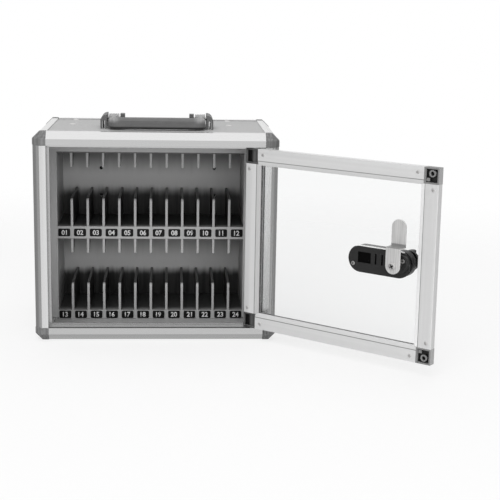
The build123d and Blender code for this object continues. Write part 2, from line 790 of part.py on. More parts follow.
def lock_housing():
    """The body outside the pane: a spigot fills the pane's cut-out, and rooms open to it hold the wheels."""
    outer_length = lock_length - (lock_plate_height - lock_body_height)
    body = upright_slab(lock_outline(outer_length, lock_body_height), lock_face, pane_outer)
    body = fillet(body.faces().sort_by(Axis.Y)[0].edges(), lock_body_round)
    inset = 2 * (lock_lap + spigot_clearance)
    body += upright_slab(lock_outline(lock_length - inset, lock_plate_height - inset), pane_outer, pane_inner)
    room = wheel_radius + wheel_clearance
    for x in wheel_places():
        half = wheel_width / 2 + wheel_clearance
        body -= rod_x(axle_y, door_middle, x - half, x + half, room)
        body -= block(x - half, x + half, axle_y, pane_inner, door_middle - room, door_middle + room)
    low, high = axle_ends()
    body -= rod_x(axle_y, door_middle, low, high, axle_radius + axle_clearance)
    return body - rod_y(spindle_x, door_middle, lock_face, pane_inner, spindle_radius + spindle_clearance)


def axle_ends():
    places = wheel_places()
    reach = wheel_width / 2 + wheel_clearance + axle_overhang
    return places[-1] - reach, places[0] + reach


def number_wheel(x):
    wheel = rod_x(axle_y, door_middle, x - wheel_width / 2, x + wheel_width / 2, wheel_radius)
    wheel = chamfer(wheel.edges().filter_by(GeomType.CIRCLE), wheel_edge)
    return wheel - rod_x(axle_y, door_middle, x - wheel_width, x + wheel_width, axle_radius + axle_clearance)


def cam():
    """A flat bar with a step: the lower leg on the spindle, the upper leg behind the rail's stop lip."""
    low = door_inner + cam_plane
    high = door_inner + cam_tip_plane
    half = cam_width / 2
    z = door_middle
    leg = block(spindle_x - half, spindle_x + half, low, low + cam_thickness, z, z + cam_step)
    leg += rod_y(spindle_x, z, low, low + cam_thickness, half)
    step = block(spindle_x - half, spindle_x + half, high, low + cam_thickness,
                 z + cam_step - cam_thickness, z + cam_step)
    tip_z = z + cam_reach - half
    tip = block(spindle_x - half, spindle_x + half, high, high + cam_thickness, z + cam_step - cam_thickness,
                tip_z)
    tip += rod_y(spindle_x, tip_z, high, high + cam_thickness, half)
    return leg + step + tip


def lock():
    save_in_door("lock_back_plate", lock_plate())
    save_in_door("lock_body", lock_housing())
    low, high = axle_ends()
    save_in_door("lock_wheel_axle", rod_x(axle_y, door_middle, low, high, axle_radius))
    screws = []
    for x, z, face in plate_screw_places():
        screw = rod_y(x, z, face - plate_screw_length, face, screw_shank_radius)
        screws.append(screw + rod_y(x, z, face, face + plate_screw_height, plate_screw_radius))
    save_in_door("lock_plate_screws", *screws)
    for name, x in zip(("right", "middle", "left"), wheel_places()):
        save_in_door(f"lock_wheel_{name}", number_wheel(x))
    cam_back = door_inner + cam_plane
    knob_high = lock_face - knob_gap
    knob_low = knob_high - knob_depth
    spindle = rod_y(spindle_x, door_middle, knob_high, cam_back, spindle_radius)
    screw_room = rod_y(spindle_x, door_middle, cam_back - screw_length, cam_back + cam_thickness,
                       screw_shank_radius + screw_fit)
    save_in_door("lock_spindle", spindle - screw_room)
    save_in_door("lock_cam", cam() - screw_room)
    cam_face = cam_back + cam_thickness
    screw = rod_y(spindle_x, door_middle, cam_back - screw_length, cam_face, screw_shank_radius)
    screw += rod_y(spindle_x, door_middle, cam_face, cam_face + cam_screw_height, cam_screw_radius)
    save_in_door("lock_cam_screw", screw)
    flange = rod_y(spindle_x, door_middle, knob_high - knob_flange, knob_high, knob_radius)
    bar = block(spindle_x - knob_bar / 2, spindle_x + knob_bar / 2, knob_low, knob_high,
                door_middle - knob_radius, door_middle + knob_radius)
    limit = rod_y(spindle_x, door_middle, knob_low, knob_high, knob_radius)
    save_in_door("lock_knob", flange + (bar & limit))


# ---------------------------------------------------------------- carry handle
def bracket_screw_places():
    return [(x, handle_pivot_y + y) for x in (-hub_middle, hub_middle)
            for y in (-bracket_screw_front, bracket_screw_rear)]


def bracket_screw_holes():
    """Holes for the bracket screws through the top panel and the rack's roof."""
    return [rod(x, y, rack_top, top, bracket_screw_shank + screw_fit) for x, y in bracket_screw_places()]


def bracket():
    """The right bracket: a base, a hollow outer cheek with a rounded shoulder, and an inner lug."""
    z = top - panel_outer
    low = handle_pivot_y - bracket_front
    high = handle_pivot_y + bracket_rear
    body = block(bracket_inner, bracket_outer, low, high, z, z + bracket_base)
    cheek = block(cheek_inner, bracket_outer, low, high, z, z + cheek_height)
    shoulder = cheek.edges().filter_by(Axis.Y).group_by(Axis.X)[-1].sort_by(Axis.Z)[-1]
    body += fillet(shoulder, cheek_round)
    slit = bracket_outer - cheek_outer_wall
    body -= block(slit - cheek_slit, slit, low, high, z, z + cheek_slit_height)
    body += block(bracket_inner, bracket_inner + lug_width, handle_pivot_y - lug_half_depth,
                  handle_pivot_y + lug_half_depth, z, z + cheek_height)
    for y in (-bracket_screw_front, bracket_screw_rear):
        body -= rod(hub_middle, handle_pivot_y + y, z, z + bracket_base, bracket_screw_shank + screw_fit)
    pin_end = slit - cheek_slit
    return body - rod_x(handle_pivot_y, handle_z, bracket_inner, pin_end, handle_pin_radius + pin_fit)


def hub():
    """The right hub of the bail, with the neck that the grip's arm meets."""
    low = hub_middle - hub_width / 2
    high = low + hub_width
    bore = handle_pin_radius + handle_pin_clearance
    body = rod_x(handle_pivot_y, handle_z, low, high, hub_radius)
    body += block(hub_middle - neck_width / 2, hub_middle + neck_width / 2, handle_pivot_y - neck_length,
                  handle_pivot_y, handle_z - arm_height / 2, handle_z + arm_height / 2)
    return body - rod_x(handle_pivot_y, handle_z, low, high, bore)


def bail():
    """The grip and its two arms, folded forward."""
    grip_y = handle_pivot_y - grip_reach
    grip_z = handle_z - grip_drop
    grip = Pos(0, grip_y, grip_z) * Box(bail_width, grip_depth, grip_height)
    grip = fillet(grip.edges().filter_by(Axis.Z).group_by(Axis.Y)[0], grip_end_round)
    rims = grip.faces().filter_by(Axis.Z)
    grip = fillet(rims[0].edges() + rims[1].edges(), grip_round)
    arm = block(hub_middle - arm_width / 2, hub_middle + arm_width / 2, grip_y,
                handle_pivot_y - neck_length, handle_z - arm_height / 2, handle_z + arm_height / 2)
    arm = fillet(arm.edges().filter_by(Axis.Y), arm_round)
    return grip + across(arm)


def handle():
    z = top - panel_outer
    save("handle_brackets", *across(bracket()))
    pin = rod_x(handle_pivot_y, handle_z, bracket_inner, bracket_outer - cheek_outer_wall - cheek_slit,
                handle_pin_radius)
    save("handle_pins", *across(pin))
    screws = []
    for x, y in bracket_screw_places():
        screw = rod(x, y, rack_top, z + bracket_base, bracket_screw_shank)
        screws.append(screw + rod(x, y, z + bracket_base, z + bracket_base + bracket_screw_height,
                                  bracket_screw_radius))
    save("handle_bracket_screws", *screws)
    save("handle_hubs", *across(hub()))
    save("handle_bail", bail())


edge_rails()
corner_caps()
panels()
rack()
door()
lock()
handle()
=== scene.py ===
# %% [markdown]
# A phone locker box for a counter: an aluminium edge frame with plastic corner caps, sheet panels,
# a rack of twenty-four slots in two rows, a clear framed door with a small combination lock, and a
# folding carry handle on top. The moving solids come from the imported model. Here they get
# their finishes, their softened edges and the small parts that a solid model leaves plain.

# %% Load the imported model
import bmesh
import bpy
from math import pi, radians
from mathutils import Matrix, Vector


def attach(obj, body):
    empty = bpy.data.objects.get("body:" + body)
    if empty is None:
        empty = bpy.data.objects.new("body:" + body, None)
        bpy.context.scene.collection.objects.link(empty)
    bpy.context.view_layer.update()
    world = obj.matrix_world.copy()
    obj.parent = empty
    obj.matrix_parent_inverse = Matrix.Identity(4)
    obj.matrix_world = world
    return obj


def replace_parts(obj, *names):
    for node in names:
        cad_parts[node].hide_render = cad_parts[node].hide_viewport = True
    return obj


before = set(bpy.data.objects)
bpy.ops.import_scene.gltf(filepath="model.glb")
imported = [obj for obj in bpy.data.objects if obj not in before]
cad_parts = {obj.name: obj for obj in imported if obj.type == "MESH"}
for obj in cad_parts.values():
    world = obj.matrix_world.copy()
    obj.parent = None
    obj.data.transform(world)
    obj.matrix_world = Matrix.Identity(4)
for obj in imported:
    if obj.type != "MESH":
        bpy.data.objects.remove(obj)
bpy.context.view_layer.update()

# %% [markdown]
# All lengths below are written in millimetres, as a maker would, and turned to metres in one place.
# The door is easiest to think of shut, square to the box. One matrix then swings any piece of it to
# where the open door rests, about the two pivot pins.

# %% Units and the open door
MM = 0.001
PIVOT = Vector((129.2, -98.1, 0)) * MM
OPEN_ANGLE = radians(139.8)
OPEN_DOOR = Matrix.Translation(PIVOT) @ Matrix.Rotation(OPEN_ANGLE, 4, "Z") @ Matrix.Translation(-PIVOT)


def at(x, y, z):
    """A move to a place given in millimetres."""
    return Matrix.Translation(Vector((x, y, z)) * MM)


print("door swung", round(OPEN_ANGLE * 180 / pi, 1), "degrees about", tuple(PIVOT))

# %% [markdown]
# A material is a small graph of nodes. Wiring each sum by hand hides the idea, so one class wraps a
# socket and lets plain arithmetic add the Math nodes, and a second one holds a material and adds any
# other node in one call: its type, its settings, and then what goes into its sockets.

# %% Shader arithmetic
class Level:
    """A number that varies over a surface. Arithmetic on it adds Math nodes."""

    def __init__(self, finish, socket):
        self.finish = finish
        self.socket = socket

    def __add__(self, other):
        return self.finish.math("ADD", self, other)

    def __sub__(self, other):
        return self.finish.math("SUBTRACT", self, other)

    def __rsub__(self, other):
        return self.finish.math("SUBTRACT", other, self)

    def __mul__(self, other):
        return self.finish.math("MULTIPLY", self, other)

    def __abs__(self):
        return self.finish.math("ABSOLUTE", self, 0.0)

    __radd__ = __add__


class Finish:
    """One material and the nodes that shade it."""

    def __init__(self, name, colour=(0.5, 0.5, 0.5), roughness=0.5, metallic=0.0, tree=None):
        if tree is None:
            self.material = bpy.data.materials.new(name)
            self.material.use_nodes = True
            tree = self.material.node_tree
            self.shader = tree.nodes["Principled BSDF"]
            self.shader.inputs["Base Color"].default_value = (*colour, 1)
            self.shader.inputs["Roughness"].default_value = roughness
            self.shader.inputs["Metallic"].default_value = metallic
        self.tree = tree

    def node(self, kind, settings=None, inputs=None):
        """Add a node: its type, then its settings, then values or links for its sockets."""
        made = self.tree.nodes.new("ShaderNode" + kind)
        for key, value in (settings or {}).items():
            setattr(made, key, value)
        for key, value in (inputs or {}).items():
            self.plug(made.inputs[key], value)
        return made

    def plug(self, socket, value):
        """Put a plain value, a socket or a level into a socket."""
        if isinstance(value, Level):
            value = value.socket
        if isinstance(value, bpy.types.NodeSocket):
            self.tree.links.new(value, socket)
        else:
            socket.default_value = value

    def math(self, operation, first, second):
        made = self.node("Math", {"operation": operation}, {0: first, 1: second})
        return Level(self, made.outputs[0])

    def clamp(self, value):
        return Level(self, self.node("Clamp", {}, {"Value": value}).outputs[0])

    def where(self, stretch=(1, 1, 1), turn=0.0):
        """Object coordinates, turned about Z and then stretched."""
        spot = self.node("TexCoord").outputs["Object"]
        turned = self.node("Mapping", {}, {"Vector": spot, "Rotation": (0, 0, -turn)})
        return self.node("Mapping", {}, {"Vector": turned.outputs[0], "Scale": stretch}).outputs[0]

    def noise(self, place, scale, detail):
        made = self.node("TexNoise", {}, {"Vector": place, "Scale": scale, "Detail": detail})
        return Level(self, made.outputs[0])

    def dot(self, first, second):
        """How far one vector reaches along another."""
        made = self.node("VectorMath", {"operation": "DOT_PRODUCT"}, {0: first, 1: tuple(second)})
        return Level(self, made.outputs["Value"])

    def band(self, value, low, high):
        """A soft step from 0 at low to 1 at high."""
        made = self.node("MapRange", {"interpolation_type": "SMOOTHSTEP"},
                         {"Value": value, "From Min": low, "From Max": high})
        return Level(self, made.outputs[0])

    def between(self, value, start, full, fade, end):
        """A soft step up from start to full, and down again from fade to end."""
        return self.band(value, start, full) * (1 - self.band(value, fade, end))

    def blend(self, factor, first, second):
        """A colour between two colours."""
        made = self.node("Mix", {"data_type": "RGBA"})
        self.plug(made.inputs["Factor"], factor)
        for key, value in ((6, first), (7, second)):
            self.plug(made.inputs[key], (*value, 1) if isinstance(value, tuple) else value)
        return made.outputs[2]

    def set(self, **sockets):
        """Plug values into the shader's own sockets, named with underscores."""
        for key, value in sockets.items():
            self.plug(self.shader.inputs[key.replace("_", " ")], value)
        return self

    def recolour(self, mask, colour):
        """Turn the base colour to another one where a mask is 1."""
        present = self.shader.inputs["Base Color"].links[0].from_socket
        return self.set(Base_Color=self.blend(mask, present, colour))

    def facing(self, direction, low, high):
        """A soft mask of the faces that point along a direction of the piece."""
        return self.band(self.dot(self.node("TexCoord").outputs["Normal"], direction), low, high)

    def place(self, axis, turn=0.0):
        """One coordinate, in millimetres, on the piece turned about Z."""
        parts = self.node("SeparateXYZ", {}, {0: self.where((1, 1, 1), turn)})
        return Level(self, parts.outputs[axis]) * 1000

    def bump(self, height, distance, strength=1.0):
        """A fine relief, its depth in millimetres."""
        made = self.node("Bump", {}, {"Height": height, "Distance": distance * MM,
                                      "Strength": strength})
        self.plug(self.shader.inputs["Normal"], made.outputs[0])
        return self

    def on(self, piece):
        piece.data.materials.clear()
        piece.data.materials.append(self.material)
        return piece


def grey(level, warm=0.0):
    """A grey, a little warmer if asked."""
    return (level * (1 + warm), level, level * (1 - warm))


print("shader helpers ready")

# %% [markdown]
# The rails are extruded aluminium with a satin face. The die leaves long, very fine lines, so the
# noise is squeezed across the rail and stretched along it. Each run of rail has its own direction,
# and the door's members are turned with the door. The lines live in roughness and a shallow bump,
# and the colour only drifts a little, because metal is coloured by what it reflects.

# %% Drawn aluminium
def drawn_aluminium(name, stretch, turn=0.0, level=0.80, metallic=1.0, roughness=0.25):
    finish = Finish(name, grey(level), roughness, metallic)
    lines = finish.noise(finish.where(stretch, turn), 900.0, 2.0)
    wide_lines = finish.noise(finish.where(stretch, turn), 160.0, 1.0)
    finish.set(Base_Color=finish.blend(wide_lines, grey(level * 0.86), grey(level * 1.08)),
               Roughness=roughness - 0.07 + lines * 0.16)
    return finish.bump(lines, 0.02, 0.25)


ALONG = {"x": (0.012, 1, 1), "y": (1, 0.012, 1), "z": (1, 1, 0.012)}
FORWARDS = (0, -1, 0)
UP = (0, 0, 1)
case_aluminium = {axis: drawn_aluminium("case_aluminium_" + axis, ALONG[axis]) for axis in "xyz"}
sill_aluminium = drawn_aluminium("sill_aluminium", ALONG["x"])
print("aluminium in", len(case_aluminium), "directions")

# %% [markdown]
# A rail's faces are painted in different greys, as light falls on them. The flat that looks forward
# is painted darker than the slope above it, and the deep inner side of an upright rail is painted
# darker still, as shade in the recess. The sill has a matt upper face, painted dark as shade, with a
# darker painted shadow line along its front. A mask of where a face points, or of how deep it lies,
# turns the colour there.

# %% Painted light and shade on the case's rails
across = case_aluminium["x"]
# Painted light and shade by facing: the forward flat darker, the upward slope lighter.
across.recolour(across.facing(FORWARDS, 0.85, 0.97), grey(0.62))
across.recolour(across.facing((0, -0.707, 0.707), 0.93, 0.99), grey(0.87))
upright = case_aluminium["z"]
depth = upright.place("Y")
# Painted shade on the deep inner side of the upright rails.
upright.recolour(upright.between(depth, -100.0, -97.0, -80.0, -70.0), grey(0.52))
sill = sill_aluminium.facing(UP, 0.75, 0.95)
# Painted shade on the sill's forward and upper faces, and a painted shadow line along its front.
sill_aluminium.recolour(sill_aluminium.facing(FORWARDS, 0.85, 0.97), grey(0.60))
sill_aluminium.recolour(sill, grey(0.40))
front_shadow_line = 1 - sill_aluminium.band(sill_aluminium.place("Y"), -97.5, -96.0)
sill_aluminium.recolour(sill * front_shadow_line, grey(0.02))
sill_aluminium.set(Metallic=1 - sill * 0.7)
print("rails toned")

# %% [markdown]
# The door's members have a flat face and a bevel. A fine dark line is painted between them, as shade
# in a groove, and each bevel is painted lighter or darker by how light falls on it. The material
# finds them by the distance from the door's middle. For that it turns the place of each point back
# to the shut door, which also moves the door's middle and its front: the two turned values below.

# %% Painted light and shade on the door's members
SHUT_TURN = Matrix.Rotation(-OPEN_ANGLE, 4, "Z")
TURNED_MIDDLE = (SHUT_TURN @ PIVOT).x / MM - PIVOT.x / MM
TURNED_FRONT = (SHUT_TURN @ PIVOT).y / MM - PIVOT.y / MM
DOOR_INNER = -92.5
DOOR_MIDDLE = 139.6


def member_aluminium(name, axis, middle, edge, bevel_grey):
    """Aluminium of a door member: past the edge of its flat face come a painted dark line, as shade in
    a groove, and a bevel whose painted grey stands for how light falls on it.
    """
    finish = drawn_aluminium(name, ALONG[axis], OPEN_ANGLE, 0.77, 0.35, 0.38)
    offset = finish.place({"x": "Z", "z": "X"}[axis], OPEN_ANGLE) - middle
    from_middle = abs(offset)
    flat = finish.band(from_middle, edge - 0.25, edge + 0.25)
    line = finish.between(from_middle, edge - 0.9, edge - 0.5, edge, edge + 0.4)
    # Painted light and shade: the bevel's grey, and a darker one on the hinge side's bevel.
    finish.recolour(1 - flat, grey(bevel_grey))
    if axis == "z":
        hinge_side = finish.band(offset, -1.0, 1.0)
        finish.recolour((1 - flat) * hinge_side, grey(0.50))
    # Painted shade: the fine dark line between flat and bevel.
    finish.recolour(line, grey(0.22))
    return finish.set(Metallic=0.1 + flat * 0.25)


door_aluminium = {"across": member_aluminium("door_aluminium_across", "x", DOOR_MIDDLE, 105.0, 0.66),
                  "up": member_aluminium("door_aluminium_up", "z", TURNED_MIDDLE, 123.5, 0.93)}
print("door aluminium in", len(door_aluminium), "directions")

# %% [markdown]
# Moulded plastic shows a fine spark-eroded grain from its mould: two sizes of noise, the finer one
# on top of the coarser one. The same recipe, at other depths and greys, makes the corner caps, the
# handle, the lock and the little corner pieces of the door.

# %% Moulded plastics
def moulded(name, level, roughness, grain, size=900.0, shine=0.5):
    finish = Finish(name, grey(level), roughness)
    place = finish.where()
    fine = finish.noise(place, size, 2.0)
    coarse = finish.noise(place, size / 6, 3.0)
    finish.set(Base_Color=finish.blend(coarse, grey(level * 0.86), grey(level * 1.12)),
               Roughness=roughness + (fine - 0.5) * 0.22)
    finish.shader.inputs["Specular IOR Level"].default_value = shine
    return finish.bump(fine + coarse * 0.6, grain)


cap_plastic = moulded("cap_plastic", 0.155, 0.55, 0.06, 700.0)
handle_plastic = moulded("handle_plastic", 0.115, 0.5, 0.05, 800.0)
grip_plastic = moulded("grip_plastic", 0.135, 0.5, 0.05, 800.0)
hub_plastic = moulded("hub_plastic", 0.40, 0.45, 0.04)
corner_plastic = moulded("corner_plastic", 0.21, 0.42, 0.03)
hinge_plastic = moulded("hinge_plastic", 0.21, 0.42, 0.03)
lock_plastic = moulded("lock_plastic", 0.004, 0.30, 0.02, 1100.0, shine=0.24)
lock_shell = moulded("lock_shell", 0.004, 0.30, 0.02, 1100.0, shine=0.05)
plate_plastic = moulded("plate_plastic", 0.024, 0.34, 0.02, 1100.0, shine=0.05)
wheel_plastic = moulded("wheel_plastic", 0.065, 0.4, 0.02, shine=0.3)
bush_plastic = moulded("bush_plastic", 0.62, 0.45, 0.02)
label_plastic = moulded("label_plastic", 0.005, 0.4, 0.015, 1500.0, shine=0.2)
white_print = moulded("white_print", 0.72, 0.6, 0.01, 2500.0)
print("plastics ready")

# %% [markdown]
# The corner caps carry upright streaks, pale and dark, from years of handling. The handle's bracket
# cheeks have slits, whose inner walls are painted pale, as light seen through them. The grip is
# painted dark underneath, as shade, and is ribbed and pale at its two upper ends: a sine wave across
# the handle makes the ribs.

# %% Wear on the caps, painted light and shade on the handle
streaks = cap_plastic.noise(cap_plastic.where((1, 1, 0.06)), 420.0, 2.0)
cap_plastic.recolour(cap_plastic.band(streaks, 0.50, 0.66) * 0.7, grey(0.24))
cap_plastic.recolour(cap_plastic.band(streaks, 0.46, 0.34) * 0.7, grey(0.09))

sideways = abs(handle_plastic.place("X"))
height = handle_plastic.place("Z")
in_cheek = handle_plastic.between(sideways, 69.3, 69.7, 72.6, 73.0)
in_slit = handle_plastic.between(height, 276.6, 277.2, 287.6, 288.2)
# Painted light: the inner walls of the cheeks' slits are pale.
handle_plastic.recolour(in_cheek * in_slit, grey(0.75))

sideways = abs(grip_plastic.place("X"))
height = grip_plastic.place("Z")
# Painted shade: the grip's lower edge is dark.
grip_plastic.recolour(1 - grip_plastic.band(height, 280.2, 283.0), grey(0.02))
pale_ends = grip_plastic.band(sideways, 47.0, 58.0) * grip_plastic.band(height, 285.0, 290.0)
rib = grip_plastic.math("SINE", sideways * 3.3, 0.0) * 0.5 + 0.5
grip_plastic.recolour(pale_ends * (0.35 + rib * 0.55), grey(0.42))
print("caps and handle worn")

# %% [markdown]
# The lock is black. Its shell is polished outside and dull inside, which is a coat that is thick on
# one side only. The back plate's windows are sunk below its face, so they are told apart by depth,
# made duller and painted darker, as shade in the recess. The plate's upper edge gets a painted
# highlight.

# %% Lock plate and shell
INNER_NORMAL = OPEN_DOOR.to_3x3() @ Vector((0, 1, 0))
FREE_SIDE = OPEN_DOOR.to_3x3() @ Vector((-1, 0, 0))
plate_face = plate_plastic.band(plate_plastic.place("Y", OPEN_ANGLE) - TURNED_FRONT, -93.6, -92.8)
# Painted shade: the sunk windows are darker than the face.
plate_plastic.recolour(1 - plate_face, grey(0.002))
plate_plastic.set(Coat_Weight=plate_face * 0.4)
# Painted highlight on the plate's upper edge.
above_middle = plate_plastic.band(plate_plastic.place("Z"), 152.0, 153.0)
plate_plastic.recolour(plate_plastic.facing(UP, 0.45, 0.75) * above_middle, grey(0.9))
lock_shell.set(Coat_Weight=(1 - lock_shell.facing(INNER_NORMAL, 0.3, 0.8)) * 0.4)
print("lock finishes ready")

# %% [markdown]
# The pockets of the door's corner pieces are painted black, as the deep shade in them, with a pale
# ring standing in them. Distance below the corner's face is the dot product of the place with the
# door's inner normal, and a soft step on it paints the floor of the pocket dark and leaves the rim and
# ring pale. The outer skin stays grey at any depth. The faces that look inwards and the free edge get
# their own painted greys, as light falls on them, and on the hinge corners the inner faces are painted
# darker.

# %% Painted shade in the corner pockets
HALF_WIDTH = 140.0
HALF_HEIGHT = 119.0
FACE_LEVEL = (OPEN_DOOR @ (Vector((0, DOOR_INNER, 0)) * MM)).dot(INNER_NORMAL) / MM
for finish, face_grey, side_grey in ((corner_plastic, 0.21, 0.42), (hinge_plastic, 0.065, 0.21)):
    depth = FACE_LEVEL - finish.dot(finish.where(), INNER_NORMAL) * 1000
    sideways = abs(finish.place("X", OPEN_ANGLE) - TURNED_MIDDLE)
    upwards = abs(finish.place("Z") - DOOR_MIDDLE)
    within_sides = 1 - finish.band(sideways, HALF_WIDTH - 0.2, HALF_WIDTH + 0.2)
    within_ends = 1 - finish.band(upwards, HALF_HEIGHT - 0.2, HALF_HEIGHT + 0.2)
    not_outside = 1 - finish.facing(-INNER_NORMAL, 0.5, 0.9)
    free_edge = finish.facing(FREE_SIDE, 0.6, 0.9) * (1 - finish.band(depth, 9.0, 9.6))
    # Painted light and shade by facing: the inner faces and the free edge each get their own grey.
    finish.recolour(finish.facing(INNER_NORMAL, 0.3, 0.8), grey(face_grey))
    finish.recolour(free_edge, grey(side_grey))
    # Painted shade: the floor of each pocket is black.
    pocket = finish.band(depth, 1.6, 4.0) * within_sides * within_ends
    finish.recolour(pocket * not_outside, grey(0.012))
print("corner pockets darken below", round(FACE_LEVEL - 1.6, 1), "mm")

# %% [markdown]
# The panels are grey board with a pebbled face. Voronoi cells give the pebbles, and a smooth step
# on the distance to each centre leaves the valleys between them. The rack's sheets are enamelled,
# which leaves a fine peel, as on an orange.

# %% Panel board and rack enamel
def pebbled(name, level):
    finish = Finish(name, grey(level), 0.55)
    place = finish.where()
    made = finish.node("TexVoronoi", {"feature": "SMOOTH_F1"},
                       {"Vector": place, "Scale": 620.0, "Smoothness": 0.6})
    pebble = 1 - finish.band(Level(finish, made.outputs["Distance"]), 0.1, 0.75)
    cloud = finish.noise(place, 25.0, 2.0)
    mottle = pebble * 0.7 + cloud * 0.3
    finish.set(Base_Color=finish.blend(mottle, grey(level * 0.88), grey(level * 1.08)),
               Roughness=0.62 - pebble * 0.16)
    return finish.bump(pebble, 0.10, 0.7)


def enamelled(name, level):
    finish = Finish(name, grey(level), 0.42)
    place = finish.where()
    peel = finish.noise(place, 260.0, 2.0)
    cloud = finish.noise(place, 18.0, 2.0)
    finish.set(Base_Color=finish.blend(cloud, grey(level * 0.95), grey(level * 1.05)),
               Roughness=0.40 + (peel - 0.5) * 0.18)
    return finish.bump(peel, 0.06, 0.5)


panel_board = pebbled("panel_board", 0.46)
rack_enamel = enamelled("rack_enamel", 0.48)
print("board and enamel ready")

# %% [markdown]
# The rack's back wall is seen past the slots. Shade is painted on it under each ceiling, and behind
# the dividers it is painted as dark as their sides. Four soft steps on its height, two for each row,
# draw that. A little noise, stretched upright, keeps the steps from being ruled lines.

# %% Painted shade on the back wall
back_enamel = enamelled("back_enamel", 0.60)
ragged = back_enamel.noise(back_enamel.where((1, 1, 0.08)), 130.0, 2.0) * 9 - 4.5
level = back_enamel.place("Z") + ragged
upper_row = back_enamel.band(level, 126.0, 130.0)
lower_light = back_enamel.band(level, 46.0, 61.0) * (1 - back_enamel.band(level, 70.0, 108.0) * 0.70)
upper_light = back_enamel.band(level, 164.0, 183.0) * (1 - back_enamel.band(level, 194.0, 229.0) * 0.82)
lightness = lower_light * (1 - upper_row) + upper_light * upper_row
# Painted shade: the dark grey laid under each ceiling and behind the dividers.
shade = back_enamel.blend(back_enamel.band(ragged, -1.5, 1.5), grey(0.012), grey(0.045))
back_enamel.recolour(1 - lightness, shade)
print("back wall shaded in two rows")

# %% [markdown]
# The sides of the dividers and the floors between them are painted dark, as shade in the deep,
# narrow slots, and only their front edges and the front strip stay pale. The surface's own normal
# tells them apart: it points sideways on a divider's side, up on a floor and forwards on an edge. The
# first centimetres of each floor are painted lighter, as the light from the front that reaches them.

# %% Painted shade in the slots
def lined(name, level, dark):
    finish = enamelled(name, level)
    speckle = finish.noise(finish.where(), 1300.0, 2.0)
    painted_slot_shade = finish.blend(speckle, grey(dark * 0.7), grey(dark * 1.3))
    # Painted shade on every face that does not look forwards.
    return finish.recolour(1 - finish.facing(FORWARDS, 0.30, 0.80), painted_slot_shade)


divider_enamel_shaded = lined("divider_enamel_shaded", 0.40, 0.05)
shelf_enamel_shaded = lined("shelf_enamel_shaded", 0.40, 0.04)
near = 1 - shelf_enamel_shaded.band(shelf_enamel_shaded.place("Y"), -4.0, 16.0)
# Painted light on the front of each floor.
shelf_enamel_shaded.recolour(near * shelf_enamel_shaded.facing(UP, 0.6, 0.9), grey(0.26))
print("lining ready")

# %% [markdown]
# The cam, pins and screws are zinc plated steel: a bright metal with soft blotches from the bath.
# The cam is brushed along its length, and its bend is painted darker, as shade. The pane is clear
# acrylic, which bends light a little less than glass. Its rubber channel is pale and half see-through,
# and dotted with small bumps.

# %% Steel, acrylic and rubber
def plated(name, level, roughness, stretch=(1, 1, 1)):
    finish = Finish(name, grey(level, 0.01), roughness, 1.0)
    blotch = finish.noise(finish.where(), 90.0, 3.0)
    scratch = finish.noise(finish.where(stretch), 1400.0, 2.0)
    finish.set(Base_Color=finish.blend(blotch, grey(level * 0.85, 0.012), grey(level, 0.005)),
               Roughness=roughness - 0.08 + blotch * 0.1 + scratch * 0.12)
    return finish.bump(scratch, 0.02, 0.3)


cam_steel = plated("cam_steel", 0.90, 0.36, (1, 1, 0.03))
grain = cam_steel.noise(cam_steel.where((1, 1, 0.02)), 620.0, 1.0)
cam_steel.recolour(cam_steel.band(grain, 0.60, 0.38) * 0.5, grey(0.55))
cam_steel.set(Metallic=0.65 + grain * 0.1)
rise = cam_steel.place("Z")
# Painted shade in the cam's bend.
bend = cam_steel.between(rise, 161.2, 161.9, 164.8, 165.8)
cam_steel.recolour(bend * 0.8, grey(0.30))
screw_steel = plated("screw_steel", 0.66, 0.28)
bright_screw = plated("bright_screw", 0.80, 0.35)
rivet_metal = plated("rivet_metal", 0.78, 0.30)

clear_acrylic = Finish("clear_acrylic", (0.992, 0.996, 0.996), 0.015)
clear_acrylic.shader.inputs["Transmission Weight"].default_value = 1.0
clear_acrylic.shader.inputs["IOR"].default_value = 1.49
haze = clear_acrylic.noise(clear_acrylic.where(), 30.0, 2.0)
clear_acrylic.set(Roughness=0.01 + haze * 0.02)

gasket_rubber = Finish("gasket_rubber", grey(0.62), 0.5)
gasket_rubber.shader.inputs["Transmission Weight"].default_value = 0.35
bead_place = gasket_rubber.where((1, 1, 1), OPEN_ANGLE)
bead = gasket_rubber.node("TexVoronoi", {}, {"Vector": bead_place, "Scale": 420.0})
dots = 1 - gasket_rubber.band(Level(gasket_rubber, bead.outputs["Distance"]), 0.15, 0.5)
gasket_rubber.set(Base_Color=gasket_rubber.blend(dots, grey(0.45), grey(0.85)),
                  Roughness=0.6 - dots * 0.25)
gasket_rubber.bump(dots, 0.12, 0.6)
print("steel, acrylic and rubber ready")

# %% [markdown]
# Blender's edit tools act on whatever is selected, and loading the model leaves all of it selected.
# These helpers deselect everything first, pick vertices, edges or faces by a rule on their place,
# and run one edit tool on them.

# %% Edit helpers
def only(piece):
    """Select one piece alone and make it the active one."""
    bpy.ops.object.select_all(action="DESELECT")
    piece.select_set(True)
    bpy.context.view_layer.objects.active = piece
    return piece


def edit(piece, kind, rule, tool, **settings):
    """Run an edit tool on the parts of a piece that a rule accepts."""
    only(piece)
    bpy.ops.object.mode_set(mode="EDIT")
    bpy.ops.mesh.select_mode(type=kind)
    bpy.ops.mesh.select_all(action="DESELECT")
    mesh = bmesh.from_edit_mesh(piece.data)
    mesh.normal_update()
    for part in {"VERT": mesh.verts, "EDGE": mesh.edges, "FACE": mesh.faces}[kind]:
        if rule(part):
            part.select_set(True)
    mesh.select_flush_mode()
    bmesh.update_edit_mesh(piece.data)
    tool(**settings)
    bpy.ops.object.mode_set(mode="OBJECT")
    return piece


def everything(part):
    """A rule that accepts any part."""
    return True


